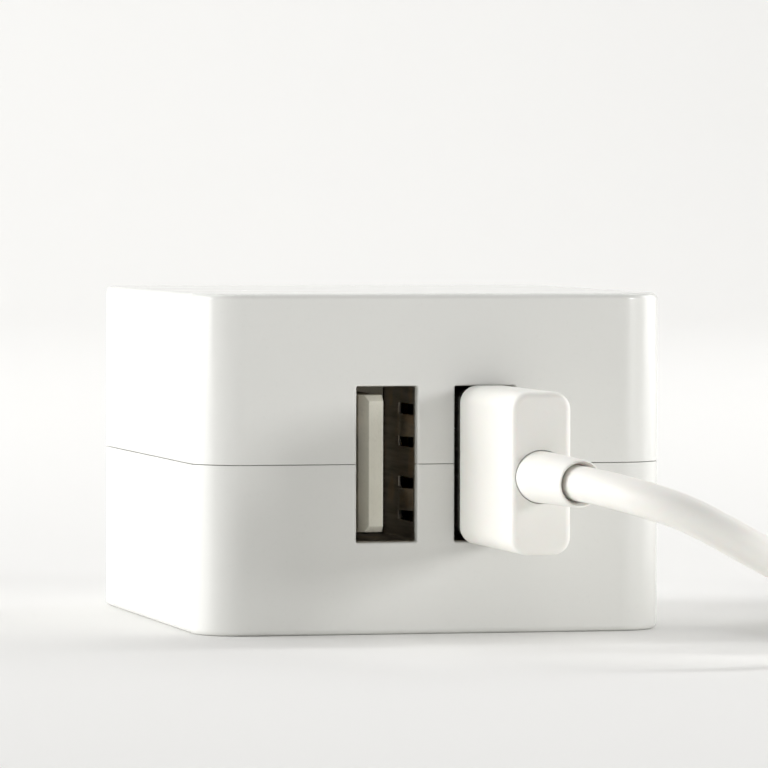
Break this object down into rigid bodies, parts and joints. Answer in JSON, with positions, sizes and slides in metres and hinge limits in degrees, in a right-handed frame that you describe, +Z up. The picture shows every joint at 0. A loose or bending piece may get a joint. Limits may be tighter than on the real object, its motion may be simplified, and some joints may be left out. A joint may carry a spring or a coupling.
{
  "type": "usb wall charger",
  "caption": "Glossy white box-shaped USB wall charger with upright USB-A ports in one end, folding mains prongs in the other, and a thin USB cable plugged in.",
  "frame": {"origin": "middle of the charger's underside, which is the large face it lies on", "axes": "+X to the right as seen from the USB ports, +Y back to the side that goes against the wall, +Z up"},
  "size_m": [0.0972, 0.0835, 0.0275],
  "materials": {
    "housing": "glossy injection-moulded white plastic",
    "cable_white": "soft satin white cable plastic",
    "port_steel": "dull stamped steel",
    "port_tongue": "cream moulded plastic",
    "contact_gold": "gold-flashed contact",
    "spring_bronze": "phosphor bronze strip",
    "nickel": "nickel plate",
    "board": "green solder mask",
    "ferrite": "dark sintered ferrite",
    "black_plastic": "black moulding compound",
    "winding_tape": "yellow polyester tape over copper wire",
    "capacitor_sleeve": "black shrink sleeve",
    "output_sleeve": "green shrink sleeve",
    "disc_capacitor": "blue epoxy dip",
    "resistor": "green coated body",
    "tie": "woven hook-and-loop strap"
  },
  "bodies": {
    "charger": {"lower_shell": "housing", "upper_shell": "housing", "left_receptacle_shell": "port_steel", "left_receptacle_tongue": "port_tongue", "left_contact_vbus": "contact_gold", "left_contact_data_minus": "contact_gold", "left_contact_data_plus": "contact_gold", "left_contact_ground": "contact_gold", "right_receptacle_shell": "port_steel", "right_receptacle_tongue": "port_tongue", "right_contact_vbus": "contact_gold", "right_contact_data_minus": "contact_gold", "right_contact_data_plus": "contact_gold", "right_contact_ground": "contact_gold", "circuit_board": "board", "transformer_core_left": "ferrite", "transformer_core_right": "ferrite", "transformer_bobbin": "black_plastic", "transformer_winding": "winding_tape", "input_capacitor_front": "capacitor_sleeve", "input_capacitor_rear": "capacitor_sleeve", "output_capacitor_left": "output_sleeve", "output_capacitor_right": "output_sleeve", "fuse_resistor": "resistor", "safety_capacitor": "disc_capacitor", "optocoupler": "black_plastic", "output_rectifier": "black_plastic", "input_choke": "ferrite", "bridge_rectifier": "black_plastic", "power_controller": "black_plastic", "port_controller": "black_plastic", "contact_spring_line": "spring_bronze", "contact_spring_neutral": "spring_bronze", "detent_spring": "port_steel"},
    "prongs": {"prong_carrier": "housing", "prong_blade_line": "nickel", "prong_blade_neutral": "nickel"},
    "usb_plug": {"plug_shell": "nickel", "plug_insulator": "cable_white", "plug_contact_vbus": "contact_gold", "plug_contact_data_minus": "contact_gold", "plug_contact_data_plus": "contact_gold", "plug_contact_ground": "contact_gold", "plug_grip": "cable_white", "plug_strain_relief": "cable_white", "cable": "cable_white", "cable_coil": "cable_white", "coil_tie": "tie", "cable_tail": "cable_white", "micro_strain_relief": "cable_white", "micro_grip": "cable_white", "micro_shell": "nickel", "micro_tongue": "black_plastic"}
  },
  "joints": [
    {"name": "prong_fold", "type": "hinge", "parent": "charger", "child": "prongs", "pos_m": [-0.006, 0.018, 0.01375], "axis": [0, 0, 1], "range_deg": [0, 90]},
    {"name": "plug_pull", "type": "slide", "parent": "charger", "child": "usb_plug", "axis": [0, -1, 0], "range_m": [0, 0.014]}
  ]
}
